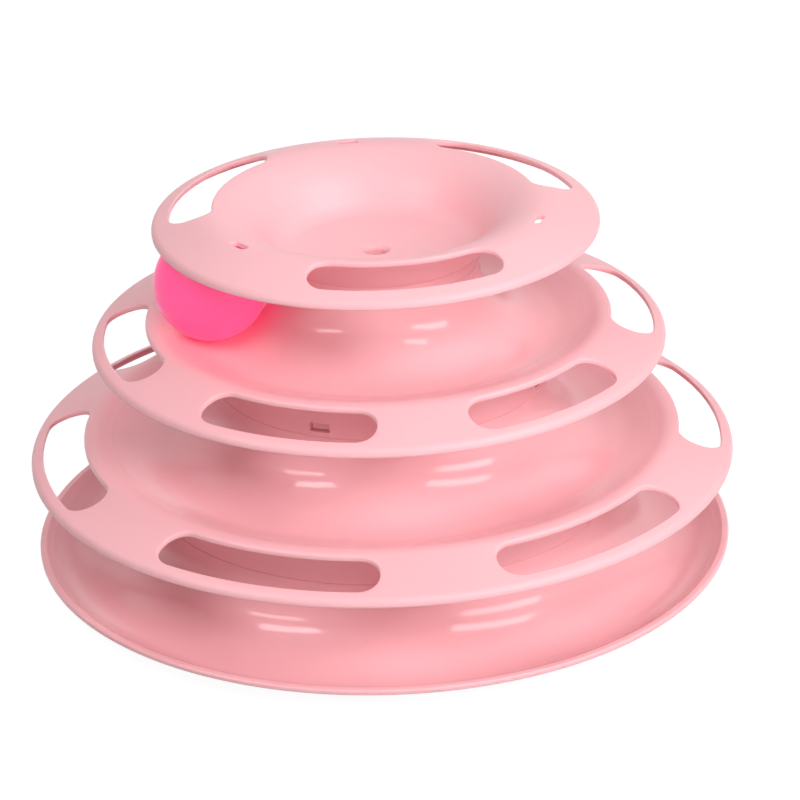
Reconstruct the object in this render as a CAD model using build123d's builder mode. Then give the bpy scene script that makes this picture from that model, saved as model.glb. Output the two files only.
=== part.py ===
"""Cat ball track toy: a tower of three ball tracks, stacked from four round mouldings.

Millimetres. The Z axis is the tower's axis, Z = 0 is the floor it stands on, and the
middle of one slot of the top dish faces -Y. Profiles are drawn as radius and height in
the XZ plane and turned about Z.
"""

import os
from math import cos, radians, sin, tan

from build123d import *

# Balls, and the room that the tracks leave for them
ball_d = 40.0
ball_wall = 1.0
ball_lift = 0.25  # a resting ball clears its track by this much
side_room = 2.5  # a track's rounded side is this much wider than the ball
head_room = 2.75  # extra height of a storey over the ball
brim_setback = 0.7  # a ball's outermost point stands this far outside the brim above it

# Where each ball lies, as an angle about Z
lower_ball_angle = 72.0
middle_ball_angle = 96.0
upper_ball_angle = 181.0

# Mouldings
wall = 2.0
edge_r = 0.7  # rounding of slot rims and small edges
brim_edge_r = 2.6  # rounding on top of a brim's outer edge
bead_h = 2.8  # height of a brim's outer edge
brim_r_lower = 125.0
middle_step = 24.0  # the middle brim's radius is this much less than the lower one's
top_step = 23.0  # and the top brim's is this much less again
brim_angle = 19.0  # slope of a brim, up towards the axis
bank_angle = 17.0  # slope from a track up to the crest of its own brim
crest_r = 9.0
brim_drop = 3.0  # a brim's outer edge lies this far below its own track
floor_flat = 2.0  # level strip along the middle of a track
hub_land = 1.5  # straight wall between the rounded side of a track and the seam

# Tray
tray_lift = 2.0  # the tray's underside above the floor
rim_w = 2.3
rim_reach = 18.3  # the rim's outer edge beyond the middle of the lowest track
rim_rise = 6.0  # the rim above the lowest track
lip_angle = 34.0
lip_r = 19.0

# Foot pads
pad_count = 4
pad_d = 10.0
pad_recess = 0.6
pad_gap = 0.2
pad_chamfer = 0.4
pad_start = 45.0

# Paw slots in the brims
slot_w = 14.8
slot_flat = 0.6  # straight part of a slot's rounded ends
tier_slots = 6
tier_slot_inset = 4.3  # from the brim's edge to the slot
tier_slot_span = 39.8
tier_slot_start = 0.0
top_slots = 3
top_slot_inset = 6.4
top_slot_span = 60.2
top_slot_start = 30.0

# Spigots, skirts and their snap latches
fit_gap = 0.2  # between a spigot and the skirt around it
spigot_h = 12.0
collar_h = 3.0
window_w = 7.2
window_h = 3.2
window_rise = 1.9  # a window's lower edge above the seam
nub_gap = 0.6  # around a nub in its window
nub_setback = 1.5  # a nub's face behind the outside of the skirt
lower_snaps = 2
middle_snaps = 4
snap_start = 330.0

# Plug of the top dish, inside the upper hub
plug_h = 10.0
plug_snaps = 2
pocket_depth = 1.0
pocket_gap = 0.4  # a plug's nub off the end of its pocket
pocket_drop = 6.0  # a pocket's middle below the seam

# Bowl of the top dish
bowl_drop = 12.5  # the bowl's floor below the brim's edge
bowl_inset = 1.7  # the bowl's corner inside the upper hub's wall
bowl_corner_r = 8.0
bowl_crest_inset = 30.3  # the crest's corner inside the brim's edge
bowl_crest_r = 22.0
hole_r = 3.75
hole_mouth_r = 2.0
sleeve_wall = 2.0
sleeve_h = 10.0
slit_count = 3
slit_l = 7.6
slit_w = 2.8
slit_inset = 18.5
slit_edge_r = 0.5
slit_start = 90.0

# Sizes that follow
ball_r = ball_d / 2
groove_r = ball_r + side_room
storey = ball_d + head_room
cover_reach = ball_r - brim_setback
brim_r_middle = brim_r_lower - middle_step
brim_r_top = brim_r_middle - top_step

# Middle of each track, the hub wall inside it, the track's level and the seam on the hub
lower_track_r = brim_r_lower - cover_reach
middle_track_r = brim_r_middle - cover_reach
upper_track_r = brim_r_top - cover_reach
lower_hub_r = lower_track_r - groove_r
middle_hub_r = middle_track_r - groove_r
upper_hub_r = upper_track_r - groove_r
lower_floor_z = tray_lift + wall
middle_floor_z = lower_floor_z + storey
upper_floor_z = middle_floor_z + storey
seam_rise = groove_r + hub_land
lower_seam_z = lower_floor_z + seam_rise
middle_seam_z = middle_floor_z + seam_rise
upper_seam_z = upper_floor_z + seam_rise
top_edge_z = upper_floor_z + storey - brim_drop

nub_h = window_h - 2 * nub_gap
nub_w = window_w - 2 * nub_gap
snap_rise = window_rise + window_h / 2  # middle of a window above its seam
snap_reach = wall + fit_gap - nub_setback
plug_reach = pocket_depth + fit_gap - pocket_gap
pad_h = tray_lift + pad_recess


def brim_line(brim_r, edge_z, foot_r, foot_z):
    """Skin of a brim from its edge to its crest and down the bank to a foot, as three corners."""
    up = tan(radians(brim_angle))
    down = tan(radians(bank_angle))
    crest_at = (edge_z - foot_z + up * brim_r + down * foot_r) / (up + down)
    crest_z = edge_z + up * (brim_r - crest_at)
    return [(brim_r, edge_z), (crest_at, crest_z), (foot_r, foot_z)]


def spigot_points(hub_r, seam_z):
    """Outline of a spigot that stands on a hub's seam, with the collar that carries it."""
    outer = hub_r - wall - fit_gap
    inner = outer - wall
    return [
        (inner, seam_z - collar_h),
        (hub_r - wall / 2, seam_z - collar_h),
        (hub_r - wall / 2, seam_z),
        (outer, seam_z),
        (outer, seam_z + spigot_h),
        (inner, seam_z + spigot_h),
    ]


def slot_sketch(outer, span):
    """One paw slot: a sector of a ring with round ends, centred on +X."""
    inner = outer - slot_w
    with BuildSketch() as slot:
        with BuildLine():
            rim = CenterArc((0, 0), outer, -span / 2, span)
            hub_side = CenterArc((0, 0), inner, -span / 2, span)
            Line(rim @ 0, hub_side @ 0)
            Line(rim @ 1, hub_side @ 1)
        make_face()
        fillet(slot.vertices(), (slot_w - slot_flat) / 2)
    return slot.sketch


def snap_nub(middle_z, reach, lead):
    """A latch nub, +X out of its carrier's face. It tapers towards its leading end, 1 up or -1 down."""
    half = lead * nub_h / 2
    with BuildPart() as nub:
        with BuildSketch(Plane.XZ):
            with BuildLine():
                Polyline(
                    (-wall / 2, middle_z - half),
                    (reach, middle_z - half),
                    (reach, middle_z),
                    (reach / 2, middle_z + half),
                    (-wall / 2, middle_z + half),
                    close=True,
                )
            make_face()
        extrude(amount=nub_w / 2, both=True)
    return nub.part


def track_tier(brim_r, hub_r, track_r, floor_z, carrier_hub_r, carrier_seam_z, carrier_snaps):
    """A brim, a track and a hub in one shell, with the skirt that fits over the hub below."""
    edge_z = floor_z - brim_drop
    seam_z = floor_z + seam_rise
    foot_r = track_r + floor_flat + groove_r * tan(radians(bank_angle / 2))
    skin_points = brim_line(brim_r, edge_z, foot_r, floor_z) + [(hub_r, floor_z), (hub_r, seam_z)]
    skin_radii = (crest_r, groove_r, groove_r)
    with BuildPart() as tier:
        with BuildSketch(Plane.XZ) as profile:
            with BuildLine():
                FilletPolyline(*skin_points, radius=skin_radii)
                Polyline(
                    skin_points[-1],
                    (hub_r - wall, seam_z),
                    (hub_r - wall, carrier_seam_z),
                    (brim_r, carrier_seam_z),
                    skin_points[0],
                )
            make_face()
            with Locations((carrier_hub_r - wall, carrier_seam_z)):
                Rectangle(wall, storey, align=(Align.MIN, Align.MIN), mode=Mode.INTERSECT)
            with BuildLine():
                skin = FilletPolyline(*skin_points, radius=skin_radii)
                offset(skin, amount=wall, side=Side.LEFT)
            make_face()
            with Locations((brim_r, edge_z)):
                Rectangle(wall, bead_h, align=(Align.MAX, Align.MAX))
            fillet(profile.vertices().sort_by(Axis.X)[-4:].sort_by(Axis.Y)[:-1], edge_r)
            fillet(profile.vertices().group_by(Axis.X)[-1].sort_by(Axis.Y)[-1], brim_edge_r)
        revolve(axis=Axis.Z)
        with BuildSketch(Plane.XY.offset(edge_z - storey)):
            with PolarLocations(0, tier_slots, tier_slot_start):
                add(slot_sketch(brim_r - tier_slot_inset, tier_slot_span))
        extrude(amount=2 * storey, mode=Mode.SUBTRACT)
        fillet(tier.edges(Select.LAST).filter_by(Axis.Z, reverse=True), edge_r)
        with Locations((0, 0, carrier_seam_z + snap_rise)):
            with PolarLocations(carrier_hub_r - wall / 2, carrier_snaps, snap_start):
                Box(2 * wall, window_w, window_h, mode=Mode.SUBTRACT)
    return tier


os.makedirs("parts", exist_ok=True)

# Tray: rim, lip, the lowest track and its hub, with a spigot and two nubs for the lower tier
rim_r = lower_track_r + rim_reach
rim_z = lower_floor_z + rim_rise
lip_foot_r = rim_r - rim_w - rim_rise / tan(radians(lip_angle))
level_end_r = lip_foot_r - lip_r * tan(radians(lip_angle / 2))
pad_ring_r = (lower_track_r + level_end_r) / 2

with BuildPart() as base_tray:
    with BuildSketch(Plane.XZ) as tray_profile:
        with BuildLine():
            tray_skin = FilletPolyline(
                (rim_r, rim_z),
                (rim_r - rim_w, rim_z),
                (lip_foot_r, lower_floor_z),
                (lower_hub_r, lower_floor_z),
                (lower_hub_r, lower_seam_z),
                radius=(edge_r, lip_r, groove_r),
            )
            offset(tray_skin, amount=wall, side=Side.LEFT)
        make_face()
        fillet(tray_profile.vertices().sort_by(Axis.X)[-2:], edge_r)
        with BuildLine():
            Polyline(*spigot_points(lower_hub_r, lower_seam_z), close=True)
        make_face()
    revolve(axis=Axis.Z)
    with PolarLocations(lower_hub_r - wall - fit_gap, lower_snaps, snap_start):
        add(snap_nub(lower_seam_z + snap_rise, snap_reach, 1))
    with BuildSketch(Plane.XY):
        with PolarLocations(pad_ring_r, pad_count, pad_start):
            Circle(pad_d / 2 + pad_gap)
    extrude(amount=pad_h, mode=Mode.SUBTRACT)
base_tray.part.label = "base_tray"
export_step(base_tray.part, "parts/base_tray.step")

# Foot pads, seated in the recesses under the tray
for number in range(pad_count):
    pad_angle = radians(pad_start + 360 * number / pad_count)
    with BuildPart() as foot_pad:
        with Locations((pad_ring_r * cos(pad_angle), pad_ring_r * sin(pad_angle), 0)):
            Cylinder(pad_d / 2, pad_h, align=(Align.CENTER, Align.CENTER, Align.MIN))
        chamfer(foot_pad.edges().group_by(Axis.Z)[0], pad_chamfer)
    foot_pad.part.label = f"foot_pad_{number + 1}"
    export_step(foot_pad.part, f"parts/foot_pad_{number + 1}.step")

# Lower tier: over the tray's hub, with a spigot and four nubs for the middle tier
lower_shell = track_tier(
    brim_r_lower, middle_hub_r, middle_track_r, middle_floor_z, lower_hub_r, lower_seam_z, lower_snaps
)
with BuildPart() as lower_tier:
    add(lower_shell.part)
    with BuildSketch(Plane.XZ):
        with BuildLine():
            Polyline(*spigot_points(middle_hub_r, middle_seam_z), close=True)
        make_face()
    revolve(axis=Axis.Z)
    with PolarLocations(middle_hub_r - wall - fit_gap, middle_snaps, snap_start):
        add(snap_nub(middle_seam_z + snap_rise, snap_reach, 1))
lower_tier.part.label = "lower_tier"
export_step(lower_tier.part, "parts/lower_tier.step")

# Middle tier: over the lower tier's hub, its own hub pocketed inside for the nubs of the top dish
middle_shell = track_tier(
    brim_r_middle, upper_hub_r, upper_track_r, upper_floor_z, middle_hub_r, middle_seam_z, middle_snaps
)
with BuildPart() as middle_tier:
    add(middle_shell.part)
    with Locations((0, 0, upper_seam_z - pocket_drop)):
        with PolarLocations(upper_hub_r - wall, plug_snaps, snap_start):
            Box(2 * pocket_depth, window_w, window_h, mode=Mode.SUBTRACT)
middle_tier.part.label = "middle_tier"
export_step(middle_tier.part, "parts/middle_tier.step")

# Top dish: brim, crest and bowl, with a collar on the upper hub and a plug inside it
bowl_floor_z = top_edge_z - bowl_drop
bowl_r = upper_hub_r - bowl_inset
bowl_crest_at = brim_r_top - bowl_crest_inset
bowl_crest_z = top_edge_z + bowl_crest_inset * tan(radians(brim_angle))
dish_points = [
    (brim_r_top, top_edge_z),
    (bowl_crest_at, bowl_crest_z),
    (bowl_r, bowl_floor_z),
    (0, bowl_floor_z),
]
dish_radii = (bowl_crest_r, bowl_corner_r)
plug_r = upper_hub_r - wall - fit_gap

with BuildPart() as top_dish:
    with BuildSketch(Plane.XZ) as dish_profile:
        with BuildLine():
            FilletPolyline(*dish_points, radius=dish_radii)
            Polyline(dish_points[-1], (0, upper_floor_z), (brim_r_top, upper_floor_z), dish_points[0])
        make_face()
        with BuildSketch(mode=Mode.INTERSECT):
            with Locations((plug_r - wall, upper_seam_z - plug_h)):
                Rectangle(wall, storey, align=(Align.MIN, Align.MIN))
            with Locations((plug_r - wall, upper_seam_z)):
                Rectangle(2 * wall + fit_gap, storey, align=(Align.MIN, Align.MIN))
            with Locations((0, bowl_floor_z - sleeve_h)):
                Rectangle(hole_r + sleeve_wall, sleeve_h, align=(Align.MIN, Align.MIN))
        with BuildLine():
            dish_skin = FilletPolyline(*dish_points, radius=dish_radii)
            offset(dish_skin, amount=wall, side=Side.LEFT)
        make_face()
        with Locations((brim_r_top, top_edge_z)):
            Rectangle(wall, bead_h, align=(Align.MAX, Align.MAX))
        fillet(dish_profile.vertices().sort_by(Axis.X)[-4:].sort_by(Axis.Y)[:-1], edge_r)
        fillet(dish_profile.vertices().group_by(Axis.X)[-1].sort_by(Axis.Y)[-1], brim_edge_r)
    revolve(axis=Axis.Z)
    with BuildSketch(Plane.XY.offset(upper_seam_z)):
        with PolarLocations(0, top_slots, top_slot_start):
            add(slot_sketch(brim_r_top - top_slot_inset, top_slot_span))
    extrude(amount=storey, mode=Mode.SUBTRACT)
    fillet(top_dish.edges(Select.LAST).filter_by(Axis.Z, reverse=True), edge_r)
    with BuildSketch(Plane.XY.offset(upper_seam_z)):
        with PolarLocations(brim_r_top - slit_inset, slit_count, slit_start):
            SlotOverall(slit_l, slit_w, rotation=90)
    extrude(amount=storey, mode=Mode.SUBTRACT)
    fillet(top_dish.edges(Select.LAST).filter_by(Axis.Z, reverse=True), slit_edge_r)
    with Locations((0, 0, bowl_floor_z)):
        Hole(hole_r, depth=sleeve_h)
    fillet(top_dish.edges(Select.LAST).filter_by(GeomType.CIRCLE).sort_by(Axis.Z)[-1], hole_mouth_r)
    with PolarLocations(plug_r, plug_snaps, snap_start):
        add(snap_nub(upper_seam_z - pocket_drop, plug_reach, -1))
top_dish.part.label = "top_dish"
export_step(top_dish.part, "parts/top_dish.step")

# Balls: hollow, one loose in each track
for name, track_r, floor_z, angle in (
    ("lower_ball", lower_track_r, lower_floor_z, lower_ball_angle),
    ("middle_ball", middle_track_r, middle_floor_z, middle_ball_angle),
    ("upper_ball", upper_track_r, upper_floor_z, upper_ball_angle),
):
    with BuildPart() as ball:
        with PolarLocations(track_r, 1, angle):
            with Locations((0, 0, floor_z + ball_lift + ball_r)):
                Sphere(ball_r)
                Sphere(ball_r - ball_wall, mode=Mode.SUBTRACT)
    ball.part.label = name
    export_step(ball.part, f"parts/{name}.step")
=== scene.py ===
# %% [markdown]
# # Dressing a cat ball track toy
# The toy is a tower of four round pink mouldings with a loose ball in each of its three tracks. The
# packed frame holds the real sizes and the bodies that move. This script gives that frame its looks: a
# camera, soft light, smooth shells in place of the faceted ones, and the finish of every plastic and
# rubber surface.

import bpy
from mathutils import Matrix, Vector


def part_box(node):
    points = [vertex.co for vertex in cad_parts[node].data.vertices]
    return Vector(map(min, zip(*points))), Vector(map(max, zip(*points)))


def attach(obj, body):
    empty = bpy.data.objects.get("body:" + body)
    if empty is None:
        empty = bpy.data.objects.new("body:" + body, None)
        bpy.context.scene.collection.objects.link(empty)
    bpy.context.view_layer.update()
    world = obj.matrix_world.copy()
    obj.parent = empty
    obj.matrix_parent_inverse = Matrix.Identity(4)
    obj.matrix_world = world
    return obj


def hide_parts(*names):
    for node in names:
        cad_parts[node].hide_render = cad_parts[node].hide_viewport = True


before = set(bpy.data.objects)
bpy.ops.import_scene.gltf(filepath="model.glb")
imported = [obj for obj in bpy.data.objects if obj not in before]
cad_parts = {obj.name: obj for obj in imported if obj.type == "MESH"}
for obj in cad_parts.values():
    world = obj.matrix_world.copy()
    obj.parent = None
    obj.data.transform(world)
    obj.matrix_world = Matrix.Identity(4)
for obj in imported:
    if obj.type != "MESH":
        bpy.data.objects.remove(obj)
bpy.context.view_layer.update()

# %% [markdown]
# ## Camera
# A long lens from about 1.3 m keeps the rings close to true ellipses, as in a catalogue picture. The
# camera could be turned by hand until it looks right, but here its place comes from two angles and a
# distance, so the view can be read and changed. A small roll and pan set the tower in the frame.

# %% Place the camera
import math

import bmesh
import bpy
import numpy as np
from mathutils import Matrix, Vector

mm = 0.001
upright = Vector((0, 0, 1))
tower_middle = Vector((0, 0, 58 * mm))
view_azimuth = math.radians(-9.1)
view_elevation = math.radians(24.62)
view_distance = 1.2691
view_roll = 0.02897
pan_right = 6.84 * mm
pan_up = 0.65 * mm
lens_mm = 160.41
far_limit = 20


def direction(azimuth, elevation):
    """Unit vector (sin a * cos e, -cos a * cos e, sin e) for an azimuth a and an angle e above the floor.

    The azimuth is 0 at the front and grows to the right.
    """
    level = math.cos(elevation)
    return Vector((math.sin(azimuth) * level, -math.cos(azimuth) * level, math.sin(elevation)))


def added(data, name):
    """Puts a mesh, lamp or camera into the scene as an object at the origin."""
    thing = bpy.data.objects.new(name, data)
    bpy.context.scene.collection.objects.link(thing)
    return thing


def facing(place, target, up):
    """Matrix of a camera or lamp at a place: it looks along its own -Z at the target, with its Y near up."""
    z = (place - target).normalized()
    x = up.cross(z).normalized()
    turn = Matrix((x, z.cross(x), z)).transposed()
    return Matrix.Translation(place) @ turn.to_4x4()


back = direction(view_azimuth, view_elevation)
level_right = upright.cross(back).normalized()
level_up = back.cross(level_right)
rolled_right = math.cos(view_roll) * level_right - math.sin(view_roll) * level_up
rolled_up = math.sin(view_roll) * level_right + math.cos(view_roll) * level_up
camera = added(bpy.data.cameras.new("camera"), "camera")
camera.data.lens = lens_mm
camera.data.clip_end = far_limit
aim = tower_middle + pan_right * rolled_right + pan_up * rolled_up
camera.matrix_world = facing(tower_middle + view_distance * back, aim, rolled_up)
bpy.context.scene.camera = camera
bpy.context.scene.view_settings.view_transform = "Standard"
print("camera at", [round(v, 4) for v in camera.location])

# %% [markdown]
# ## Shader maths as plain expressions
# The finishes below are node trees, and a node tree is easier to read as a formula. Its nodes could be
# added and linked one by one. Here a Signal is one output socket: adding or multiplying signals adds the
# Math nodes for it, so `1 - mask` is one short line. Every other node goes through one method, which
# sets the node's own settings first and then its sockets.

# %% Signals


class Signal:
    """An output socket of a shader node. Arithmetic on signals adds Math nodes to their tree."""

    def __init__(self, socket):
        """Keeps the socket, through which its node and its tree are found."""
        self.socket = socket

    @staticmethod
    def node(tree, kind, settings, inputs, output=0):
        """Adds a node: settings are its own properties, inputs the values or signals of its sockets."""
        made = tree.nodes.new(kind)
        for key, value in settings.items():
            setattr(made, key, value)
        Signal.feed(made, inputs)
        return Signal(made.outputs[output])

    @staticmethod
    def feed(node, inputs):
        """Links each signal to its socket, and sets each plain value on the socket itself."""
        for key, value in inputs.items():
            if isinstance(value, Signal):
                node.id_data.links.new(value.socket, node.inputs[key])
            else:
                node.inputs[key].default_value = value

    def reckon(self, operation, first, second):
        """One Math node in this signal's tree, fed by two signals or numbers."""
        tree = self.socket.id_data
        return Signal.node(tree, "ShaderNodeMath", {"operation": operation}, {0: first, 1: second})

    # Each operator feeds its left side to the Math node's first socket and its right side to the second.

    def __add__(self, other):
        return self.reckon("ADD", self, other)

    def __radd__(self, other):
        return self.reckon("ADD", other, self)

    def __sub__(self, other):
        return self.reckon("SUBTRACT", self, other)

    def __rsub__(self, other):
        return self.reckon("SUBTRACT", other, self)

    def __mul__(self, other):
        return self.reckon("MULTIPLY", self, other)

    def __rmul__(self, other):
        return self.reckon("MULTIPLY", other, self)

    def __pow__(self, other):
        return self.reckon("POWER", self, other)

    def __rpow__(self, other):
        return self.reckon("POWER", other, self)

    def most(self, other):
        """The larger of two signals."""
        return self.reckon("MAXIMUM", self, other)

    def out(self, name):
        """Another output of the same node."""
        return Signal(self.socket.node.outputs[name])


print("besides its operators a signal has", [word for word in vars(Signal) if not word.startswith("_")])

# %% [markdown]
# ## Floor and backdrop
# A catalogue picture stands the toy on a white paper sweep. More light would whiten the paper, but it
# would also wash out the pink. So the paper and the world are white only to rays from the camera, from a
# gloss or through a clear piece. To all other rays the paper is mid grey and the world almost dark, and
# the paper keeps enough of its own shading for a faint shadow.

# %% Floor and world
white = (1, 1, 1, 1)
paper_grey = (0.5, 0.5, 0.5, 1)
floor_half = 4.0
floor_drop = 0.2 * mm
floor_glow = 0.7
glow_strength = 1.35
soft_level = 0.01


def seen_rays(tree):
    """1 for rays from the camera, from a mirror-like surface or through a clear one, else 0."""
    path = Signal.node(tree, "ShaderNodeLightPath", {}, {}, "Is Camera Ray")
    return path.most(path.out("Is Glossy Ray")).most(path.out("Is Transmission Ray"))


def studio_floor():
    """A flat square, white where it is seen, with a little of its own shading left for the shadow."""
    plan = floor_half * np.array([[-1, -1], [1, -1], [1, 1], [-1, 1]])
    mesh = bpy.data.meshes.new("floor")
    mesh.from_pydata(np.insert(plan, 2, -floor_drop, 1).tolist(), [], [(0, 1, 2, 3)])
    material = bpy.data.materials.new("floor_paper")
    material.use_nodes = True
    tree = material.node_tree
    paper = Signal.node(tree, "ShaderNodeBsdfDiffuse", {}, {"Color": paper_grey})
    glow = Signal.node(tree, "ShaderNodeEmission", {}, {"Color": white, "Strength": glow_strength})
    share = floor_glow * seen_rays(tree)
    mixed = Signal.node(tree, "ShaderNodeMixShader", {}, {0: share, 1: paper, 2: glow})
    Signal.feed(tree.nodes["Material Output"], {"Surface": mixed})
    mesh.materials.append(material)
    return added(mesh, "floor")


def studio_world():
    """Plain white to seen rays, and a weak even light to all others: seen + soft_level * (1 - seen)."""
    world = bpy.data.worlds.new("studio")
    world.use_nodes = True
    tree = world.node_tree
    seen = seen_rays(tree)
    strength = seen + soft_level * (1 - seen)
    Signal.feed(tree.nodes["Background"], {"Color": white, "Strength": strength})
    return world


studio_floor()
bpy.context.scene.world = studio_world()
print("floor of", 2 * floor_half, "m under the world", bpy.context.scene.world.name)

# %% [markdown]
# ## Lamps
# The glossy tracks mirror the studio's lamps as pairs of thin bars, while the pink itself is lit broadly
# from the front and both sides. One set of lamps could do both, but then moving a bar would change the
# shading. Here four flat strips show only in reflections, and six soft lamps give the light without
# being mirrored.

# %% Lamps
strip_distance = 1.6
watts_per_level = 4


def area_lamp(name, distance, azimuth, elevation, width, height, level):
    """A flat lamp that faces the tower. Width and height are the angles it fills, level its brightness.

    A side is 2 * distance * tan(angle / 2). The power is 4 * level * area, because a flat lamp is as
    bright as a quarter of its power on each square metre.
    """
    size_x = 2 * distance * math.tan(math.radians(width) / 2)
    size_y = 2 * distance * math.tan(math.radians(height) / 2)
    data = bpy.data.lights.new(name, "AREA")
    data.shape = "RECTANGLE"
    data.size = size_x
    data.size_y = size_y
    data.energy = watts_per_level * level * size_x * size_y
    lamp = added(data, name)
    place = tower_middle + distance * direction(math.radians(azimuth), math.radians(elevation))
    lamp.matrix_world = facing(place, tower_middle, upright)
    return lamp


# Name, azimuth, elevation, width and height in degrees, level
strips = (
    ("right_strip_1", 45.9, 26, 36, 9, 10.0),
    ("right_strip_2", 45.9, 48, 36, 9, 10.0),
    ("left_strip_1", -62.1, 29, 24, 4.5, 11.0),
    ("left_strip_2", -62.1, 45, 26, 8, 12.0),
)
for name, *shape in strips:
    area_lamp(name, strip_distance, *shape).visible_diffuse = False

# Name, distance in metres, azimuth, elevation, width and height in degrees, level
soft_lamps = (
    ("front", 1.2, 20, 38, 50, 16, 4.9),
    ("left", 1.2, -60, 50, 40, 24, 3.2),
    ("right", 1.2, 90, 32, 40, 30, 1.35),
    ("back", 1.2, 180, 50, 60, 30, 1.3),
    ("key", 0.9, 48, 20, 50, 20, 2.2),
    ("low", 0.9, 8, 20, 36, 20, 1.8),
)
for name, *shape in soft_lamps:
    area_lamp(name, *shape).visible_glossy = False

# %% [markdown]
# ## Pink moulded plastic
# The mouldings are one pink, but not one flat colour: the tracks are polished by the mould, the brims
# have a fine satin grain, and the tone drifts a little over the part. Two materials on different faces
# would leave a hard line between gloss and satin. So an attribute called `satin`, written with the mesh,
# says how much grain a place has. Fine rings about the axis are the turning marks of the mould.

# %% Helpers for a finish


def new_finish(name):
    """A material, its main shader, and a signal of the place on the object."""
    material = bpy.data.materials.new(name)
    material.use_nodes = True
    tree = material.node_tree
    place = Signal.node(tree, "ShaderNodeTexCoord", {}, {}, "Object")
    return material, tree.nodes["Principled BSDF"], place


def noise(place, scale, detail=2):
    """Smooth clouds from 0 to 1, about 1/scale metres across."""
    inputs = {"Vector": place, "Scale": scale, "Detail": detail}
    return Signal.node(place.socket.id_data, "ShaderNodeTexNoise", {}, inputs)


def drifting(middle, amount, clouds):
    """A value that wanders with the clouds: middle + amount * (clouds - 0.5)."""
    return middle + amount * (clouds - 0.5)


def blend_colour(amount, first, second):
    """A colour between two, by a signal from 0 to 1. Sockets 6 and 7 and output 2 are the node's colours."""
    inputs = {0: amount, 6: first, 7: second}
    return Signal.node(amount.socket.id_data, "ShaderNodeMix", {"data_type": "RGBA"}, inputs, 2)


def relief_normal(height, strength, depth):
    """A normal tilted by the slope of a height signal that runs from 0 to a depth in metres."""
    inputs = {"Strength": strength, "Distance": depth, "Height": height}
    return Signal.node(height.socket.id_data, "ShaderNodeBump", {}, inputs)


def axis_rings(place, scale):
    """Noise that depends on radius and height alone, so that it runs in rings about the tower's axis."""
    tree = place.socket.id_data
    x = Signal.node(tree, "ShaderNodeSeparateXYZ", {}, {0: place}, "X")
    radius = (x * x + x.out("Y") * x.out("Y")) ** 0.5
    across = Signal.node(tree, "ShaderNodeCombineXYZ", {}, {"X": radius, "Y": x.out("Z")})
    return noise(across, scale)


helpers = (new_finish, noise, drifting, blend_colour, relief_normal, axis_rings)
print("helpers:", [helper.__name__ for helper in helpers])

# %% Tower plastic
pink = (0.930, 0.480, 0.515, 1)
pale_pink = (0.950, 0.505, 0.540, 1)
gloss_roughness = 0.12
satin_roughness = 0.38
roughness_drift = 0.06
plastic_ior = 1.5
mirror_level = 0.2
drift_scale = 14
grain_scale = 2600
ring_scale = 900
grain_share = 0.55
ring_share = 0.07
relief_strength = 0.25
relief_depth = 0.03 * mm


def tower_plastic():
    """Pink that drifts between two tones, from polished with faint rings to satin with a fine grain."""
    material, shader, place = new_finish("tower_plastic")
    tree = material.node_tree
    satin = Signal.node(tree, "ShaderNodeAttribute", {"attribute_name": "satin"}, {}, "Fac")
    drift = noise(place, drift_scale)
    grain = grain_share * satin * noise(place, grain_scale)
    rings = ring_share * (1 - satin) * axis_rings(place, ring_scale)
    sheen = gloss_roughness + (satin_roughness - gloss_roughness) * satin
    inputs = {
        "Base Color": blend_colour(drift, pink, pale_pink),
        "Roughness": drifting(sheen, roughness_drift, drift),
        "Normal": relief_normal(grain + rings, relief_strength, relief_depth),
        "IOR": plastic_ior,
        "Specular IOR Level": mirror_level,
    }
    Signal.feed(shader, inputs)
    return material


tower_finish = tower_plastic()
print(tower_finish.name, "has", len(tower_finish.node_tree.nodes), "nodes")

# %% [markdown]
# ## Profiles
# Every moulding is turned about the upright axis, so its shape is a profile of radius and height. A
# curve with a Screw modifier could turn it, but the slots need the exact height at any radius. So a
# profile is an array of points, written as a few corners with a rounding at each. The underside of a
# shell is the same line moved sideways by the wall.

# %% Profile lines
hair = 1e-7


def unit(vector):
    """Vectors divided by their lengths."""
    return vector / np.linalg.norm(vector, axis=-1, keepdims=True)


def rounded_line(corners, radii, arc_steps):
    """Straight runs with an arc at each inner corner.

    Where the line turns by an angle t, an arc of radius q starts q * tan(t / 2) before the corner. Its
    points are a fan of equal angles about the arc's centre. A radius of 0 keeps the corner.
    """
    corners = np.array(corners, float)
    stretches = [corners[:1]]
    for before, corner, after, radius in zip(corners, corners[1:], corners[2:], radii):
        come = unit(corner - before)
        go = unit(after - corner)
        turn = math.atan2(come[0] * go[1] - come[1] * go[0], come @ go)
        spoke = math.copysign(1, turn) * np.array([come[1], -come[0]])
        centre = corner - radius * (math.tan(abs(turn) / 2) * come + spoke)
        fan = np.linspace(0, turn, arc_steps + 1 if radius else 1)[:, None]
        quarter_on = np.array([-spoke[1], spoke[0]])
        stretches.append(centre + radius * (np.cos(fan) * spoke + np.sin(fan) * quarter_on))
    stretches.append(corners[-1:])
    return np.concatenate(stretches)


def parallel_line(line, distance):
    """The line moved to its left: each point goes along the mean normal of the runs beside it."""
    run = unit(np.diff(line, axis=0))
    mean = unit(np.concatenate([run[:1], run[:-1] + run[1:], run[-1:]]))
    return line + distance * np.stack([-mean[:, 1], mean[:, 0]], -1)


def height_on(line, radius):
    """Height of an inward line at any radius, read off along its runs."""
    return np.interp(-np.asarray(radius), -line[:, 0], line[:, 1])


def between(line, outer, inner=None):
    """The part of an inward line from one radius to another, or to the line's own end."""
    radius = line[:, 0]
    keep = radius < outer - hair
    if inner is not None:
        keep &= radius > inner + hair
    ends = [outer] if inner is None else [outer, inner]
    marks = [np.array([[r, height_on(line, r)]]) for r in ends]
    return np.concatenate([marks[0], line[keep], *marks[1:]])


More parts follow.
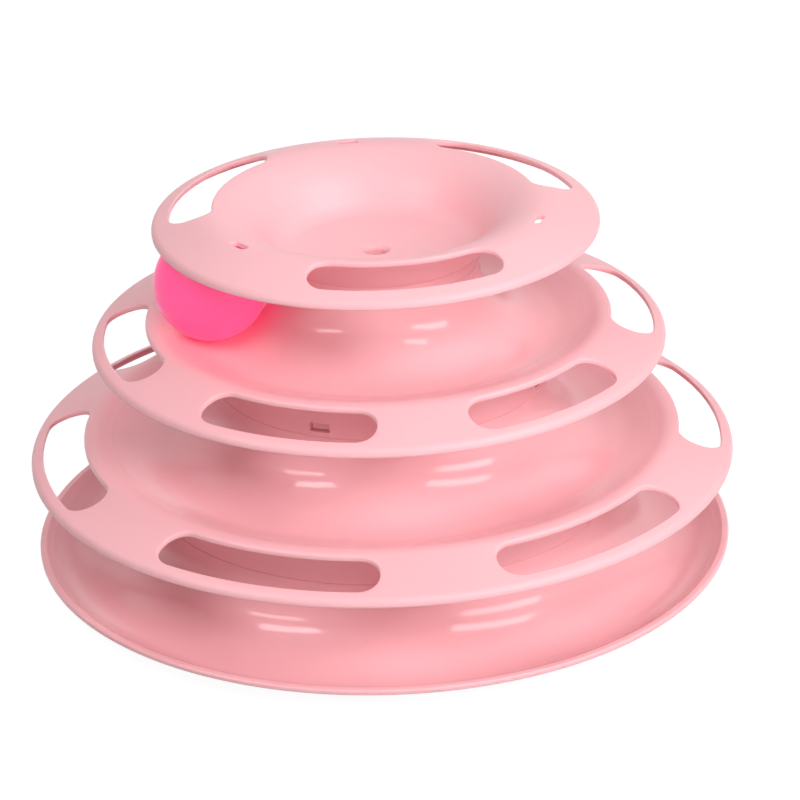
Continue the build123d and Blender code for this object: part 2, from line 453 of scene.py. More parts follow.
def below(line, top):
    """The part of a line that ends in a rising run, up to a height found by its share of that run."""
    last = np.flatnonzero(line[:, 1] < top - hair)[-1]
    share = (top - line[last, 1]) / (line[last + 1, 1] - line[last, 1])
    end = line[last] + share * (line[last + 1] - line[last])
    return np.concatenate([line[: last + 1], end[None]])


right_angle = rounded_line([(2, 0), (0, 0), (0, 2)], (1,), 2)
nearest = np.linalg.norm(right_angle, axis=1).min()
print("a right angle rounded by 1 passes", round(nearest, 3), "from its corner")

# %% [markdown]
# ## Patches and shells
# A patch is a grid of points, and turning a profile gives a closed band. Slots could be cut with the
# Boolean modifier, but that leaves long thin faces whose shading shows on a smooth gloss. Here a sector
# of the brim around each slot is a ring of quads between the sector's border and the slot's edge, and a
# rounded rim carries on through the wall to the same ring below. A shell gathers its patches and welds
# their borders.

# %% Grids and shells
weld_distance = 1e-6
crease_angle = math.radians(35)


def turned(line, angles):
    """A profile carried round the axis: radius * (cos a, sin a) and its height, for every angle a."""
    flat = np.stack([np.cos(angles), np.sin(angles)], -1)[:, None] * line[None, :, :1]
    height = np.broadcast_to(line[:, 1:], (len(angles), len(line), 1))
    return np.concatenate([flat, height], -1)


def raised(plan, line, drop=0.0):
    """Points over a plan, on the turned surface of a line, lowered by a drop."""
    height = height_on(line, np.linalg.norm(plan, axis=-1)) - drop
    return np.concatenate([plan, height[..., None]], -1)


class Shell:
    """The patches of one piece, kept as arrays until they are welded into one mesh."""

    def __init__(self):
        """Starts with no patches. The count of points shifts the numbers in each new patch's faces."""
        self.points = []
        self.faces = []
        self.satin = []
        self.count = 0

    def add(self, grid, satin, closed=True, gone=None):
        """Adds a grid of columns and rows, with a quad between every four neighbours.

        A closed grid joins its last column to its first, and gone marks the quads to leave out.
        """
        columns, rows = grid.shape[:2]
        number = np.arange(columns * rows).reshape(columns, rows)
        after = np.roll(number, -1, 0)
        quad = np.stack([number[:, :-1], after[:, :-1], after[:, 1:], number[:, 1:]], -1)
        stay = np.ones(quad.shape[:2], bool) if gone is None else ~gone
        stay[-1] &= closed
        self.faces.append(self.count + quad[stay])
        self.points.append(grid.reshape(-1, 3))
        self.satin.append(np.broadcast_to(satin, (columns, rows)).ravel())
        self.count += columns * rows

    def piece(self, name, material):
        """Welds the patches, turns all faces outwards and returns the finished object."""
        mesh = bpy.data.meshes.new(name)
        mesh.from_pydata(np.concatenate(self.points), [], np.concatenate(self.faces))
        values = mesh.attributes.new("satin", "FLOAT", "POINT")
        values.data.foreach_set("value", np.concatenate(self.satin).astype(np.float32))
        work = bmesh.new()
        work.from_mesh(mesh)
        bmesh.ops.remove_doubles(work, verts=work.verts, dist=weld_distance)
        bmesh.ops.recalc_face_normals(work, faces=work.faces)
        open_edges = sum(not edge.is_manifold for edge in work.edges)
        work.to_mesh(mesh)
        work.free()
        mesh.polygons.foreach_set("use_smooth", np.ones(len(mesh.polygons), bool))
        mesh.set_sharp_from_angle(angle=crease_angle)
        mesh.materials.append(material)
        print(name, len(mesh.polygons), "faces,", open_edges, "open edges")
        return added(mesh, name)


quarter_turns = math.pi / 2 * np.arange(4)
print("that corner turned in four steps is a grid of", turned(right_angle, quarter_turns).shape)

# %% [markdown]
# ## Slots
# A paw slot is a piece of a ring with rounded corners, and its rim is rounded so that it doesn't
# scratch. A Bevel modifier could round the rim, but it would need clean edges on both skins. Here the
# slot's edge and the border of its sector have equally many points, so the quads between them and the
# rim are plain grids.

# %% Slot edges
corner_steps = 5
radial_steps = 14


def arc(centre, radius, start, end, steps):
    """Points on an arc, without its last one, and their directions from the centre."""
    angle = np.linspace(start, end, steps, endpoint=False)
    spoke = np.stack([np.cos(angle), np.sin(angle)], -1)
    return np.asarray(centre) + radius * spoke, spoke


def slot_side(turn, start, end):
    """Points on a slot's straight side, from one radius to another, and the direction out of the slot."""
    steps = radial_steps - 2 * corner_steps
    along = np.linspace(start, end, steps, endpoint=False)[:, None]
    normal = turn + math.copysign(math.pi / 2, turn)
    spoke = np.broadcast_to([math.cos(normal), math.sin(normal)], (steps, 2))
    return along * np.array([math.cos(turn), math.sin(turn)]), spoke


def slot_edge(inner, outer, span, corner_r, arc_count):
    """Edge of a ring sector with rounded corners, centred on +X, and the directions into the wall around it.

    A corner's centre lies corner_r inside both its arc and its straight side. The arcs, the corners and the
    sides follow each other anticlockwise, from the middle of the corner at the start of the outer arc.
    """
    half = span / 2
    long_steps = arc_count - 2 * corner_steps
    far_reach, near_reach = outer - corner_r, inner + corner_r
    far_turn = half - math.asin(corner_r / far_reach)
    near_turn = half - math.asin(corner_r / near_reach)
    side_out, side_in = np.sqrt(np.array([far_reach, near_reach]) ** 2 - corner_r**2)
    quarter = math.pi / 2

    def corner(reach, turn, start, end):
        """An arc of corner_r about the point at a reach and a turn from the axis."""
        centre = (reach * math.cos(turn), reach * math.sin(turn))
        return arc(centre, corner_r, start, end, 2 * corner_steps)

    near_points, near_spokes = arc((0, 0), inner, near_turn, -near_turn, long_steps)
    stretches = (
        arc((0, 0), outer, -far_turn, far_turn, long_steps),
        corner(far_reach, far_turn, far_turn, half + quarter),
        slot_side(half, side_out, side_in),
        corner(near_reach, near_turn, half + quarter, near_turn + 2 * quarter),
        (near_points, -near_spokes),
        corner(near_reach, -near_turn, 2 * quarter - near_turn, 3 * quarter - half),
        slot_side(-half, side_in, side_out),
        corner(far_reach, -far_turn, 3 * quarter - half, 4 * quarter - far_turn),
    )
    edge, into = (np.concatenate(loop) for loop in zip(*stretches))
    return np.roll(edge, corner_steps, 0), np.roll(into, corner_steps, 0)


print("each straight side of a slot's sector has", radial_steps, "steps")

# %% Sectors and rims
sector_rings = 7
rim_steps = 5

# How much grain a surface has, from 0 where it is polished to 1 where it is satin
polished = 0.0
joint_satin = 0.2
under_satin = 0.3
slot_under_satin = 0.5
tray_rim_satin = 0.7
slot_rim_satin = 0.8
brim_satin = 1.0


def sector_border(angles, outer, inner):
    """Border of a ring sector as plan points, anticlockwise from the start of its outer arc."""
    rows = np.linspace(outer, inner, radial_steps + 1)
    side = np.ones(radial_steps)
    angle = np.concatenate([angles[:-1], angles[-1] * side, angles[:0:-1], angles[0] * side])
    steps = len(angles) - 1
    radius = np.concatenate([np.full(steps, outer), rows[:-1], np.full(steps, inner), rows[:0:-1]])
    return radius[:, None] * np.stack([np.cos(angle), np.sin(angle)], -1)


def spun(vectors, angle):
    """Plan vectors turned about the axis by an angle t: (x cos t - y sin t, x sin t + y cos t)."""
    turn = np.array([[math.cos(angle), math.sin(angle)], [-math.sin(angle), math.cos(angle)]])
    return vectors @ turn


def ring_of_quads(border, edge):
    """Plan grid between two closed loops of equally many points: border * (1 - s) + edge * s."""
    share = np.linspace(0, 1, sector_rings + 1)[None, :, None]
    return border[:, None] * (1 - share) + edge[:, None] * share


def cut_slot(shell, loops, angle, skin, under, rim_r):
    """One sector with a slot right through it: its top, its underside and the rounded rim that joins them.

    The loops are the sector's border, the slot's edge and the directions into the wall, turned to an angle.
    The rim's upper rounding stands rim_r * (1 - sin f) back from the slot and lies rim_r * (1 - cos f) below
    the skin, for f from 0 to a quarter turn. The lower rounding mirrors it.
    """
    border, edge, into = (spun(loop, angle) for loop in loops)
    plan = ring_of_quads(border, edge + rim_r * into)
    shell.add(raised(plan, skin), brim_satin)
    shell.add(raised(plan, under), slot_under_satin)
    fan = np.linspace(0, math.pi / 2, rim_steps + 1)
    plan = edge[:, None] + (rim_r * (1 - np.sin(fan)))[None, :, None] * into[:, None]
    drop = rim_r * (1 - np.cos(fan))
    upper = raised(plan, skin, drop)
    lower = raised(plan, under, -drop)
    shell.add(np.concatenate([upper, lower[:, ::-1]], 1), slot_rim_satin)


print("a sector has", sector_rings, "rings of quads, a rim", 2 * rim_steps + 1)

# %% [markdown]
# ## Sizes that the mouldings share
# The mouldings are made to fit each other: one wall, one storey height and one gap at every joint. Each
# size could be typed where it is used, but then a change would be made in many places. So the shared
# ones are named here once, and a track's hub, floor and seam follow from the brim above it.

# %% Shared sizes
wall = 2 * mm
edge_r = 0.7 * mm
groove_r = 22.5 * mm
storey = 42.75 * mm
cover_reach = 19.3 * mm
tray_floor_z = 4 * mm
seam_over_groove = 1.5 * mm
seam_r = 0.45 * mm
seam_run = 1 * mm
seam_steps = 4
fit_gap = 0.2 * mm
window_w = 7.2 * mm
window_h = 3.2 * mm
window_rise = 1.9 * mm
lower_brim_r, middle_brim_r, top_brim_r = 125 * mm, 101 * mm, 78 * mm


class Storey:
    """Sizes that follow for the track under one brim: its middle, its hub, its floor and its seam."""

    def __init__(self, number, brim_r):
        """The track's middle lies cover_reach inside the brim, and its hub one groove radius further in."""
        self.track_r = brim_r - cover_reach
        self.hub_r = self.track_r - groove_r
        self.spigot_r = self.hub_r - wall - fit_gap
        self.floor_z = tray_floor_z + number * storey
        self.seam_z = self.floor_z + (groove_r + seam_over_groove)
        self.snap_z = self.seam_z + window_rise + window_h / 2


lower_track = Storey(0, lower_brim_r)
middle_track = Storey(1, middle_brim_r)
upper_track = Storey(2, top_brim_r)
for track in (lower_track, middle_track, upper_track):
    print("hub radius", round(track.hub_r / mm, 2), "mm, seam at", round(track.seam_z / mm, 2), "mm")

# %% [markdown]
# ## Seams: spigots, nubs and skirts
# The real mouldings snap together: a hub ends in a narrower spigot, the skirt of the next piece slides
# over it, and nubs on the spigot catch in windows of the skirt. Most of this is hidden and could be left
# out, but the seam's fine line and the windows show through the slots. So the joint is modelled as it
# is, with both edges of the seam rounded a little to catch a line of shade.

# %% Spigots and nubs
spigot_h = 12 * mm
collar_h = 3 * mm
nub_gap = 0.6 * mm
nub_setback = 1.5 * mm


def spigot_line(track, inside):
    """From the inside of a hub, over the collar and the spigot, to the seam and the outside of the hub."""
    inner = track.spigot_r - wall
    corners = [
        inside,
        (inner, track.seam_z - collar_h),
        (inner, track.seam_z + spigot_h),
        (track.spigot_r, track.seam_z + spigot_h),
        (track.spigot_r, track.seam_z),
        (track.hub_r, track.seam_z),
        (track.hub_r, track.seam_z - seam_run),
    ]
    return rounded_line(corners, (0, edge_r, edge_r, 0, seam_r), seam_steps)


def add_nub(shell, track, angle):
    """A latch nub: a block that tapers towards its top, carried out of the spigot's face.

    Its outline, depth against height, is carried sideways from one end to the other, and two quads close
    each end.
    """
    half_h = window_h / 2 - nub_gap
    half_w = window_w / 2 - nub_gap
    root, reach = -wall / 2, wall + fit_gap - nub_setback
    outline = np.array(
        [(root, -half_h), (reach, -half_h), (reach, 0), (reach / 2, half_h), (root, half_h), (root, 0)]
    )
    loop = np.concatenate([outline, outline[:1]])
    patches = [np.stack([np.insert(loop, 1, y, 1) for y in (-half_w, half_w)], 1)]
    for lower_and_upper_half in ([[0, 5], [1, 2]], [[5, 4], [2, 3]]):
        quad = outline[lower_and_upper_half]
        patches += [np.insert(quad, 1, y, 2) for y in (-half_w, half_w)]
    for patch in patches:
        grid = patch + np.array([track.spigot_r, 0, track.snap_z])
        grid[..., :2] = spun(grid[..., :2], angle)
        shell.add(grid, joint_satin, closed=False)


print("spigots end at", [round((t.seam_z + spigot_h) / mm, 2) for t in (lower_track, middle_track)], "mm")

# %% Skirts


def skirt_line(carrier, under, low, high):
    """From the brim's underside down the skirt's outside, round its foot and up its inside."""
    hub_r, seam_z = carrier.hub_r, carrier.seam_z
    inner = hub_r - wall
    corners = [
        (hub_r, height_on(under, hub_r)),
        (hub_r, high),
        (hub_r, low),
        (hub_r, seam_z),
        (inner, seam_z),
        (inner, low),
        (inner, high),
        (inner, height_on(under, inner)),
    ]
    return rounded_line(corners, (0, 0, seam_r, seam_r, 0, 0), seam_steps)


def add_skirt(shell, angles, carrier, under, snaps):
    """The wall that fits over the hub below, with a window cut through it at each snap.

    A window leaves out the quads whose middle angle is less than half its width from the snap, in the second
    row outside and the second last row inside. Four small patches then line its sides.
    """
    hub_r, inner = carrier.hub_r, carrier.hub_r - wall
    low = carrier.seam_z + window_rise
    high = low + window_h
    line = skirt_line(carrier, under, low, high)
    half = window_w / 2 / hub_r
    middle = angles + np.diff(angles, append=angles[0] + 2 * math.pi) / 2
    off = np.abs((middle[:, None] - np.asarray(snaps)[None] + math.pi) % (2 * math.pi) - math.pi)
    in_window = (off < half).any(1)
    gone = np.zeros((len(angles), len(line) - 1), bool)
    gone[np.ix_(in_window, [1, len(line) - 3])] = True
    shell.add(turned(line, angles), joint_satin, gone=gone)
    for snap in snaps:
        turn = snap + half * np.array([-1, 0, 1])
        for row in (low, high):
            across = np.array([(hub_r, row), (inner, row)])
            shell.add(turned(across, turn), joint_satin, closed=False)
        for side in (turn[:1], turn[2:]):
            outside = turned(np.array([(hub_r, low), (hub_r, high)]), side)
            inside = turned(np.array([(inner, low), (inner, high)]), side)
            shell.add(np.concatenate([outside, inside]), joint_satin, closed=False)


print("windows of", round(window_w / mm, 1), "by", round(window_h / mm, 1), "mm")

# %% [markdown]
# ## The two tiers
# The lower two tiers are the same shape at two sizes: a brim, a track and a hub in one skin, and a skirt
# below that fits over the hub of the piece underneath. Scaling one mesh would make the wall, the slots
# and the rounding of the other too small. So one function builds a tier from the radius of its brim.

# %% Tier profile
brim_edge_r = 2.6 * mm
bead_h = 2.8 * mm
bead_steps = 8
crest_r = 9 * mm
brim_angle = math.radians(19)
bank_angle = math.radians(17)
brim_drop = 3 * mm
floor_flat = 2 * mm
skin_steps = 24


def smooth_step(low, high, value):
    """0 below low, 1 above high and the S-curve s * s * (3 - 2 * s) between them."""
    share = np.clip((value - low) / (high - low), 0, 1)
    return share * share * (3 - 2 * share)


def tier_skin(brim_r, track):
    """Profile of a tier's top, from its edge over the crest and the track to the hub.

    The brim rises to the crest and the bank falls from it to the foot, so the crest is at the radius r where
    edge_z + up * (brim_r - r) equals floor_z + down * (r - foot_r). Both radii are returned too.
    """
    edge_z = track.floor_z - brim_drop
    up, down = math.tan(brim_angle), math.tan(bank_angle)
    foot_r = track.track_r + floor_flat + groove_r * math.tan(bank_angle / 2)
    crest_at = (edge_z - track.floor_z + up * brim_r + down * foot_r) / (up + down)
    corners = [
        (brim_r, edge_z),
        (crest_at, edge_z + up * (brim_r - crest_at)),
        (foot_r, track.floor_z),
        (track.hub_r, track.floor_z),
        (track.hub_r, track.seam_z),
    ]
    return rounded_line(corners, (crest_r, groove_r, groove_r), skin_steps), foot_r, crest_at


def brim_edge(skin, under, outer):
    """From the top of a brim, round the bead that hangs from its edge, to the brim's underside."""
    brim_r, edge_z = skin[0]
    low_z = edge_z - bead_h
    inner = brim_r - wall
    corners = [
        (outer, height_on(skin, outer)),
        (brim_r, edge_z),
        (brim_r, low_z),
        (inner, low_z),
        (inner, height_on(under, inner)),
        (outer, height_on(under, outer)),
    ]
    return rounded_line(corners, (brim_edge_r, edge_r, edge_r, edge_r), bead_steps)


for brim_r, track in ((lower_brim_r, middle_track), (middle_brim_r, upper_track)):
    crest_at = tier_skin(brim_r, track)[2]
    print("brim radius", round(brim_r / mm), "mm, crest at", round(crest_at / mm, 2), "mm")

# %% Tier angles
tier_slots = 6
tier_sector = 360 / tier_slots
plain_steps = 15
snap_start = 330
lower_snap_count, middle_snap_count = 2, 4


def spread(knots, counts):
    """Angles in order: each gap between two knots is cut into its count of equal steps."""
    parts = [np.linspace(a, b, n, endpoint=False) for a, b, n in zip(knots, knots[1:], counts)]
    return np.radians(np.concatenate([*parts, knots[-1:]]))


def tier_angles(carrier):
    """Angles of one sector, with a step that ends at each side of every place where a window can be."""
    window = math.degrees(window_w / 2 / carrier.hub_r)
    half = tier_sector / 2
    knots = np.array([-half, window - half, -window, 0, window, half - window, half])
    return spread(knots, (1, plain_steps, 1, 1, plain_steps, 1))


def snap_angles(count):
    """Evenly spaced angles of the snaps round a seam."""
    return np.radians(snap_start + 360 / count * np.arange(count))


lower_snaps = snap_angles(lower_snap_count)
middle_snaps = snap_angles(middle_snap_count)
print("snaps at", np.degrees(lower_snaps) % 360, "and", np.degrees(middle_snaps) % 360, "degrees")

# %% Tiers
tier_slot_inset = 4.3 * mm
tier_slot_span = math.radians(39.8)
slot_w = 14.8 * mm
slot_flat = 0.6 * mm
slot_corner_r = (slot_w - slot_flat) / 2
sector_margin = 2.2 * mm
edge_margin = 2.9 * mm


def tier(name, brim_r, track, carrier, snaps, nubs):
    """A brim with six slots, its track and hub, and the skirt that fits over its carrier's hub."""
    shell = Shell()
    skin, foot_r, crest_at = tier_skin(brim_r, track)
    under = parallel_line(skin, wall)
    sector = tier_angles(carrier)
    starts = np.radians(tier_sector * np.arange(tier_slots))
    angles = (starts[:, None] + sector[None, :-1]).ravel()

    slot_out = brim_r - tier_slot_inset
    slot_in = slot_out - slot_w
    outer, inner = brim_r - edge_margin, slot_in - sector_margin
    edge = slot_edge(slot_in, slot_out, tier_slot_span, slot_corner_r, len(sector) - 1)
    loops = (sector_border(sector, outer, inner), *edge)
    for start in starts:
        cut_slot(shell, loops, start, skin, under, edge_r)

    shell.add(turned(brim_edge(skin, under, outer), angles), brim_satin)
    upper = below(between(skin, inner), track.seam_z - seam_run)
    shell.add(turned(upper, angles), smooth_step(foot_r, crest_at, upper[:, 0])[None])
    shell.add(turned(between(under, inner, carrier.hub_r), angles), under_satin)
    add_skirt(shell, angles, carrier, under, snaps)
    inward = between(under, carrier.hub_r - wall)
    if len(nubs):
        inward = below(inward, track.seam_z - collar_h)
        closing = spigot_line(track, inward[-1])
    else:
        ends = [inward[-1], (track.hub_r, track.seam_z), (track.hub_r, track.seam_z - seam_run)]
        closing = rounded_line(ends, (seam_r,), seam_steps)
    shell.add(turned(inward, angles), under_satin)
    shell.add(turned(closing, angles), joint_satin)
    for nub in nubs:
        add_nub(shell, track, nub)
    return shell.piece(name, tower_finish)


lower_tier = tier("lower_tier_shell", lower_brim_r, middle_track, lower_track, lower_snaps, middle_snaps)
middle_tier = tier("middle_tier_shell", middle_brim_r, upper_track, middle_track, middle_snaps, ())

# %% [markdown]
# ## The tray
# The lowest moulding has no brim of its own. Its track ends in a low lip with a narrow flat rim, and
# four round recesses below hold the foot pads. The recesses could be left out, since they are under the
# toy, but the pads would then cut into the tray's floor. Each is a ring of quads, as the slots are.

# %% Tray profiles
rim_w = 2.3 * mm
rim_reach = 18.3 * mm
rim_rise = 6 * mm
rim_fold = 1 * mm
rim_fold_steps = 6
lip_angle = math.radians(34)
lip_r = 19 * mm
tray_rim_r = lower_track.track_r + rim_reach
tray_rim_z = lower_track.floor_z + rim_rise
lip_foot_r = tray_rim_r - rim_w - rim_rise / math.tan(lip_angle)


def tray_lines(track):
    """Profiles of the tray's top and underside, which run inwards, and of the rim that joins them.

    Below the lip the wall keeps its thickness because the underside's corners lie wall * tan(lip_angle / 2)
    further out.
    """
    shift = wall * math.tan(lip_angle / 2)
    rim_top = (tray_rim_r - rim_w / 2, tray_rim_z)
    rim_under = (tray_rim_r - rim_fold, tray_rim_z - wall)
    top = [
        rim_top,
        (tray_rim_r - rim_w, tray_rim_z),
        (lip_foot_r, track.floor_z),
        (track.hub_r, track.floor_z),
        (track.hub_r, track.seam_z),
    ]
    bottom = [
        rim_under,
        (tray_rim_r - rim_w + shift, tray_rim_z - wall),
        (lip_foot_r + shift, track.floor_z - wall),
        (track.hub_r - wall, track.floor_z - wall),
        (track.hub_r - wall, track.seam_z),
    ]
    rim = [rim_top, (tray_rim_r, tray_rim_z), (tray_rim_r, tray_rim_z - wall), rim_under]
    skin = rounded_line(top, (edge_r, lip_r, groove_r), skin_steps)
    under = rounded_line(bottom, (0, lip_r + wall, groove_r + wall), skin_steps)
    return skin, under, rounded_line(rim, (edge_r, edge_r), rim_fold_steps)


print("tray rim radius", round(tray_rim_r / mm, 2), "mm, lip foot", round(lip_foot_r / mm, 2), "mm")

# %% Tray
pad_r = 5 * mm
pad_gap = 0.2 * mm
pad_recess = 0.6 * mm
pad_margin = 3 * mm
pad_reach = pad_r + pad_gap + pad_margin
pad_count = 4
pad_steps = 8
pad_free_steps = 26


def recess_pad(shell, border, centre, under, roof_z):
    """A round recess in the underside: a ring of quads up to its edge, its wall and its flat roof."""
    spoke = unit(border - centre)
    edge = centre + (pad_r + pad_gap) * spoke
    shell.add(raised(ring_of_quads(border, edge), under), under_satin)
    foot = raised(edge, under)
    roof = np.insert(edge, 2, roof_z, 1)
    middle = np.broadcast_to([*centre, roof_z], roof.shape)
    shell.add(np.stack([foot, roof, middle], 1), under_satin)


def tray(name):
    """The lip, the track and the hub with its spigot, over an underside with a recess for each foot pad."""
    shell = Shell()
    track = lower_track
    skin, under, rim_line = tray_lines(track)
    pad_ring_r = (track.track_r + lip_foot_r - lip_r * math.tan(lip_angle / 2)) / 2
    outer, inner = pad_ring_r + pad_reach, pad_ring_r - pad_reach
    half = 360 / pad_count / 2
    pad_half = math.degrees(pad_reach / pad_ring_r)
    knots = np.array([-half, -pad_half, pad_half, half])
    quadrant = spread(knots, (pad_free_steps, pad_steps, pad_free_steps))
    starts = np.radians(360 / pad_count * (np.arange(pad_count) + 0.5))
    angles = (starts[:, None] + quadrant[None, :-1]).ravel()

    shell.add(turned(rim_line, angles), tray_rim_satin)
    upper = below(skin, track.seam_z - seam_run)
    shell.add(turned(upper, angles), smooth_step(lip_foot_r, tray_rim_r, upper[:, 0])[None])
    shell.add(turned(between(under, under[0, 0], outer), angles), under_satin)
    first, last = pad_free_steps, pad_free_steps + pad_steps
    border = sector_border(quadrant[first : last + 1], outer, inner)
    rows = np.linspace(outer, inner, radial_steps + 1)
    band = np.stack([rows, height_on(under, rows)], -1)
    for start in starts:
        centre = pad_ring_r * np.array([math.cos(start), math.sin(start)])
        recess_pad(shell, spun(border, start), centre, under, track.floor_z - wall + pad_recess)
        for free in (quadrant[: first + 1], quadrant[last:]):
            shell.add(turned(band, start + free), under_satin, closed=False)
    inward = below(between(under, inner), track.seam_z - collar_h)
    shell.add(turned(inward, angles), under_satin)
    shell.add(turned(spigot_line(track, inward[-1]), angles), joint_satin)
    for nub in lower_snaps:
        add_nub(shell, track, nub)
    return shell.piece(name, tower_finish)


base_tray = tray("base_tray_shell")

# %% [markdown]
# ## The top dish
# The smallest brim has three long slots and three small slits. Inside its crest it dips into a shallow
# bowl with a hole in the middle, and a plug below it fits into the top hub. A tier's profile wouldn't
# do, because the skin falls to the bowl and not to a track. The sectors are cut as before, a wide and a
# narrow one in turn.

# %% Dish profiles
bowl_drop = 12.5 * mm
bowl_inset = 1.7 * mm
bowl_corner_r = 8 * mm
bowl_crest_inset = 30.3 * mm
bowl_crest_r = 22 * mm
hole_r = 3.75 * mm
hole_mouth_r = 2 * mm
sleeve_wall = 2 * mm
sleeve_h = 10 * mm
plug_h = 10 * mm
bowl_steps = 36
dish_edge_z = upper_track.floor_z + storey - brim_drop
bowl_floor_z = dish_edge_z - bowl_drop


def dish_lines():
    """Profiles of the dish's top, down to the end of its hole, and of its underside, in to the axis."""
    crest_z = dish_edge_z + bowl_crest_inset * math.tan(brim_angle)
    common = [
        (top_brim_r, dish_edge_z),
        (top_brim_r - bowl_crest_inset, crest_z),
        (upper_track.hub_r - bowl_inset, bowl_floor_z),
    ]
    hole = [(hole_r, bowl_floor_z), (hole_r, bowl_floor_z - sleeve_h)]
    skin = rounded_line(common + hole, (bowl_crest_r, bowl_corner_r, hole_mouth_r), bowl_steps)
    whole_floor = rounded_line([*common, (0, bowl_floor_z)], (bowl_crest_r, bowl_corner_r), bowl_steps)
    return skin, parallel_line(whole_floor, wall)


def plug_line(under):
    """From the dish's underside down to the seam, in to the plug, round its end and up its inside."""
    hub_r, seam_z, plug_r = upper_track.hub_r, upper_track.seam_z, upper_track.spigot_r
    plug_in = plug_r - wall
    corners = [
        (hub_r, height_on(under, hub_r)),
        (hub_r, seam_z),
        (plug_r, seam_z),
        (plug_r, seam_z - plug_h),
        (plug_in, seam_z - plug_h),
        (plug_in, height_on(under, plug_in)),
    ]
    return rounded_line(corners, (seam_r, 0, edge_r, edge_r), seam_steps)


print("bowl floor at", round(bowl_floor_z / mm, 2), "mm, brim edge at", round(dish_edge_z / mm, 2), "mm")

# %% Top dish
top_slots = 3
top_slot_start = 30
top_slot_inset = 6.4 * mm
top_slot_span = math.radians(60.2)
top_slot_steps = 56
slit_w = 2.8 * mm
slit_l = 7.6 * mm
slit_inset = 18.5 * mm
slit_rim_r = 0.5 * mm
slit_round = 0.48
slit_corner_r = slit_round * slit_w
slit_sector_half = 16
slit_steps = 24
dish_margin = 3.2 * mm


def dish(name):
    """A brim with long slots and small slits in turn, the bowl with its hole and sleeve, and the plug."""
    shell = Shell()
    skin, under = dish_lines()
    slot_out = top_brim_r - top_slot_inset
    slot_in = slot_out - slot_w
    outer, inner = top_brim_r - edge_margin, slot_in - dish_margin
    slot_half = 360 / top_slots / 2 - slit_sector_half
    slot_sector = spread(np.array([-slot_half, slot_half]), (top_slot_steps,))
    slit_sector = spread(np.array([-slit_sector_half, slit_sector_half]), (slit_steps,))
    slot_loops = slot_edge(slot_in, slot_out, top_slot_span, slot_corner_r, top_slot_steps)
    slit_r = top_brim_r - slit_inset
    slit_in, slit_out = slit_r - slit_w / 2, slit_r + slit_w / 2
    slit_loops = slot_edge(slit_in, slit_out, slit_l / slit_r, slit_corner_r, slit_steps)
    cells = (
        (0, slot_sector, slot_loops, edge_r),
        (math.pi / top_slots, slit_sector, slit_loops, slit_rim_r),
    )
    angles = []
    for start in np.radians(top_slot_start + 360 / top_slots * np.arange(top_slots)):
        for offset, sector, edge, rim_r in cells:
            loops = (sector_border(sector, outer, inner), *edge)
            cut_slot(shell, loops, start + offset, skin, under, rim_r)
            angles.append(start + offset + sector[:-1])
    angles = np.concatenate(angles)

    shell.add(turned(brim_edge(skin, under, outer), angles), brim_satin)
    shell.add(turned(between(skin, inner), angles), brim_satin)
    shell.add(turned(between(under, inner, upper_track.hub_r), angles), under_satin)
    shell.add(turned(plug_line(under), angles), joint_satin)
    sleeve_r, sleeve_z = hole_r + sleeve_wall, bowl_floor_z - sleeve_h
    shell.add(turned(between(under, upper_track.spigot_r - wall, sleeve_r), angles), under_satin)
    sleeve = np.array([(sleeve_r, bowl_floor_z - wall), (sleeve_r, sleeve_z), (hole_r, sleeve_z)])
    shell.add(turned(sleeve, angles), under_satin)
    return shell.piece(name, tower_finish)


top_dish = dish("top_dish_shell")

# %% [markdown]
# ## Hand the mouldings over
# The four mouldings stand still as one body, the tower. Each shell takes the place of the faceted solid
# of the same moulding, so that the two don't show at once. Hiding the solids by hand would do for a
# picture; the calls below hide them and also hang each shell on an empty for the tower's body.

# %% Mouldings of the tower
mouldings = (
    (base_tray, "base_tray"),
    (lower_tier, "lower_tier"),
    (middle_tier, "middle_tier"),
    (top_dish, "top_dish"),
)
for shell_piece, node in mouldings:
    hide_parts(node)
    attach(shell_piece, "tower")
print("on the tower:", [shell_piece.name for shell_piece, _ in mouldings])

# %% [markdown]
# ## Balls
# The balls are thin hollow plastic in a hot pink, smooth and a little glossy. Their pink looks lit
# from within, and the brims shade them, so the finish has a weak painted glow: emission that stands in
# for light and keeps them bright. A faint raised line shows where the two halves of the mould met. A UV
# sphere could be taken ready-made, but here the line is part of the formula for the radius.

# %% Ball plastic
hot_pink = (1.0, 0.083, 0.262, 1)
deep_pink = (0.96, 0.075, 0.242, 1)
# Painted glow: emission that stands in for light on the shaded balls, which are no lamps.
painted_ball_glow = (1.0, 0.17, 0.42, 1)
painted_glow_level = 0.34
ball_roughness = 0.30
ball_roughness_drift = 0.08
ball_mirror_level = 0.12
ball_drift_scale = 45
ball_grain_scale = 1800
ball_relief_strength = 0.15
ball_relief_depth = 0.02 * mm


def ball_plastic():
    """Hot pink that drifts between two tones, with a faint grain, a weak mirror and a weak painted glow."""
    material, shader, place = new_finish("ball_plastic")
    drift = noise(place, ball_drift_scale)
    grain = noise(place, ball_grain_scale)
    inputs = {
        "Base Color": blend_colour(drift, hot_pink, deep_pink),
        "Roughness": drifting(ball_roughness, ball_roughness_drift, drift),
        "Normal": relief_normal(grain, ball_relief_strength, ball_relief_depth),
        "IOR": plastic_ior,
        "Specular IOR Level": ball_mirror_level,
        "Emission Color": painted_ball_glow,
        "Emission Strength": painted_glow_level,
    }
    Signal.feed(shader, inputs)
    return material


ball_finish = ball_plastic()
print(ball_finish.name, "has", len(ball_finish.node_tree.nodes), "nodes")

# %% Balls
ball_columns, ball_rows = 128, 64
parting_height = 0.04 * mm
parting_width = 0.35 * mm


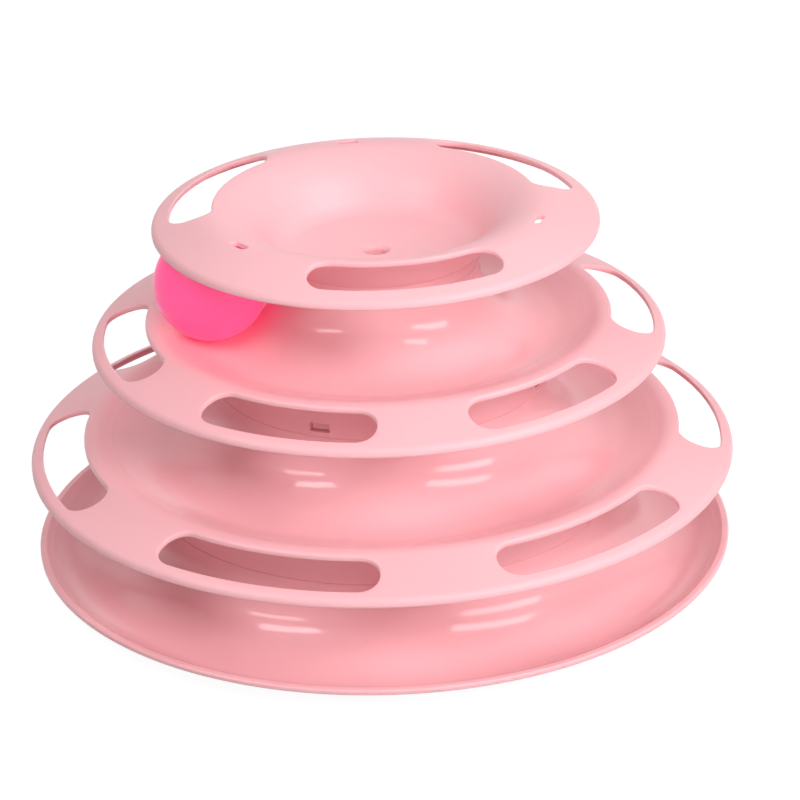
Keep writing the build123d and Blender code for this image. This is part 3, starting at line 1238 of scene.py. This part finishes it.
def ball(name, node, material):
    """A sphere of radius R + h * exp(-(R * v / w)^2), where v is the angle from the mould's parting circle.

    Its poles lie along Y, so the circle stands upright.
    """
    low, high = (np.array(corner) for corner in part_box(node))
    centre = (low + high) / 2
    radius = (high - low)[2] / 2 - parting_height
    around = np.linspace(0, 2 * math.pi, ball_columns, endpoint=False)[:, None]
    rise = np.linspace(-math.pi / 2, math.pi / 2, ball_rows + 1)[None]
    reach = radius + parting_height * np.exp(-((radius * rise / parting_width) ** 2))
    pole_part = np.sin(rise) + 0 * around
    spoke = np.stack([np.cos(around) * np.cos(rise), pole_part, np.sin(around) * np.cos(rise)], -1)
    shell = Shell()
    shell.add(centre + reach[..., None] * spoke, polished)
    piece = shell.piece(name, material)
    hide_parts(node)
    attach(piece, node)


for ball_node in ("lower_ball", "middle_ball", "upper_ball"):
    ball(f"{ball_node}_shell", ball_node, ball_finish)

# %% [markdown]
# ## Foot pads
# The pads are small discs of soft rubber. They could be modelled again, but their frame solids already
# have the right shape, so they only get a finish: a matt grey with a fine speckle.

# %% Pad rubber
pad_grey = (0.58, 0.57, 0.55, 1)
pale_pad_grey = (0.70, 0.69, 0.66, 1)
pad_roughness = 0.72
pad_roughness_drift = 0.15
speckle_scale = 1500
speckle_detail = 3
speckle_strength = 0.3
speckle_depth = 0.05 * mm


def pad_rubber():
    """Matt grey whose speckle changes its tone, its roughness and its relief together."""
    material, shader, place = new_finish("pad_rubber")
    speckle = noise(place, speckle_scale, speckle_detail)
    inputs = {
        "Base Color": blend_colour(speckle, pad_grey, pale_pad_grey),
        "Roughness": drifting(pad_roughness, pad_roughness_drift, speckle),
        "Normal": relief_normal(speckle, speckle_strength, speckle_depth),
    }
    Signal.feed(shader, inputs)
    return material


pad_finish = pad_rubber()
for number in range(1, pad_count + 1):
    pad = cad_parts[f"foot_pad_{number}"]
    pad.data.materials.clear()
    pad.data.materials.append(pad_finish)
print(pad_finish.name, "on", pad_count, "pads")

# %% [markdown]
